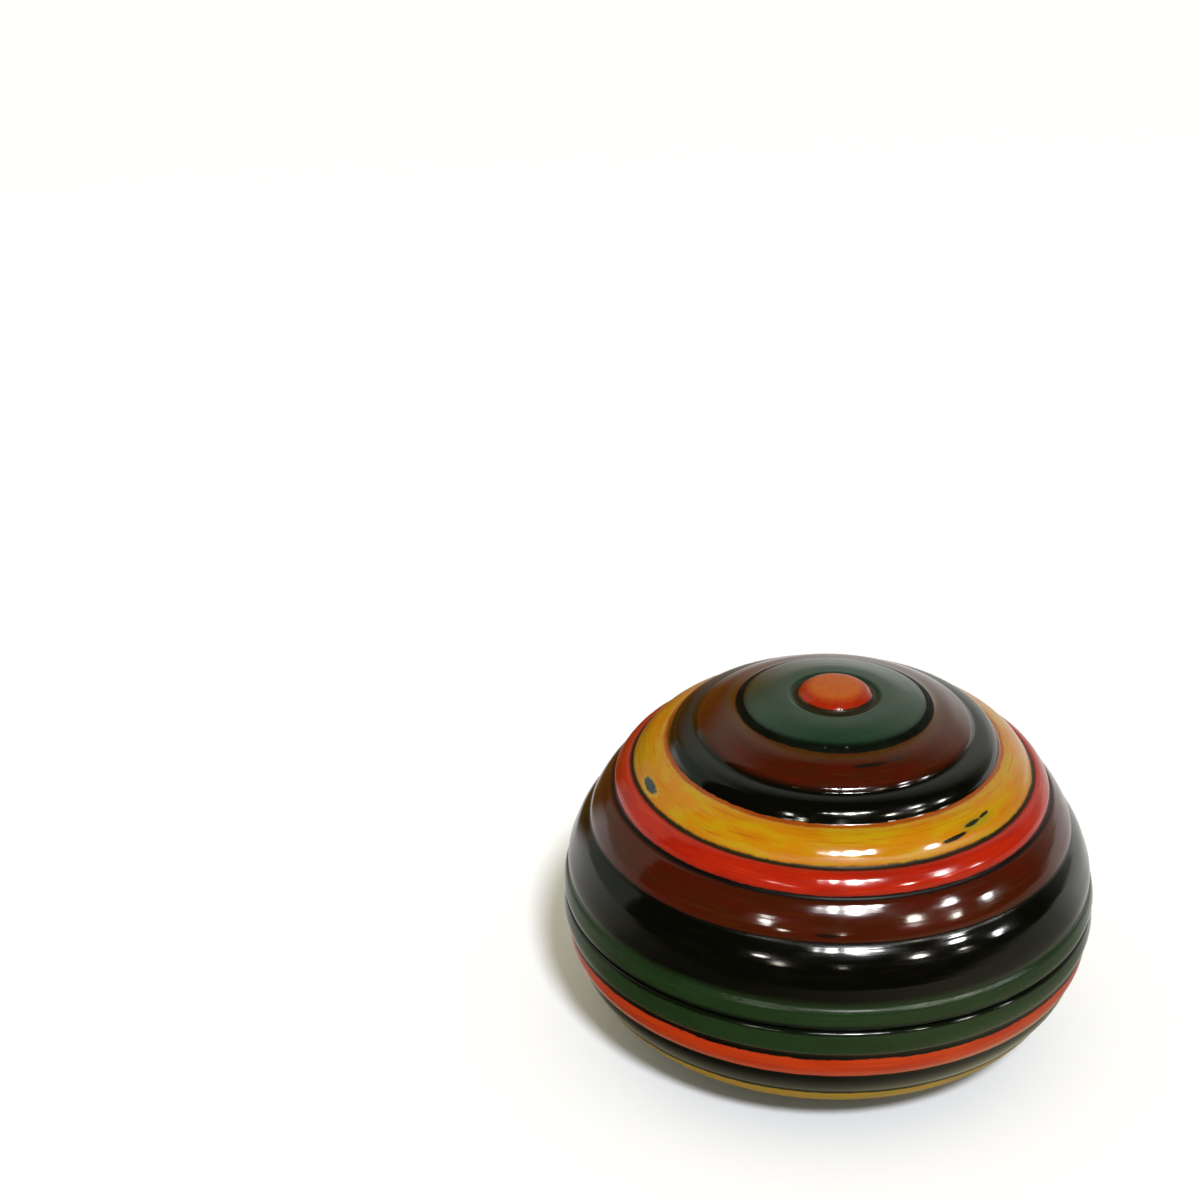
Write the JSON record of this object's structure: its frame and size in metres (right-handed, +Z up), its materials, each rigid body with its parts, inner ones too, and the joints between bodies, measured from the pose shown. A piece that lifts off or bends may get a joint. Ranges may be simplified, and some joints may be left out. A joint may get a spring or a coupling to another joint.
{
  "type": "incense box",
  "caption": "Round domed box with a lift-off lid, turned in wood as raised concentric rings of coloured lacquer, for holding incense.",
  "frame": {"origin": "centre of the underside of the foot ring, on the surface the box stands on", "axes": "+Z up along the turning axis; the box is round, so +X and +Y are free"},
  "size_m": [0.0748, 0.0748, 0.0542],
  "materials": {
    "bowl_lacquer": "turned wood under glossy lacquer, in green, black, orange and yellow rings",
    "lid_lacquer": "turned wood under glossy lacquer, in orange, green, brown, black, yellow and red rings"
  },
  "bodies": {
    "root": {"bowl": "bowl_lacquer", "lid": "lid_lacquer"}
  },
  "joints": []
}
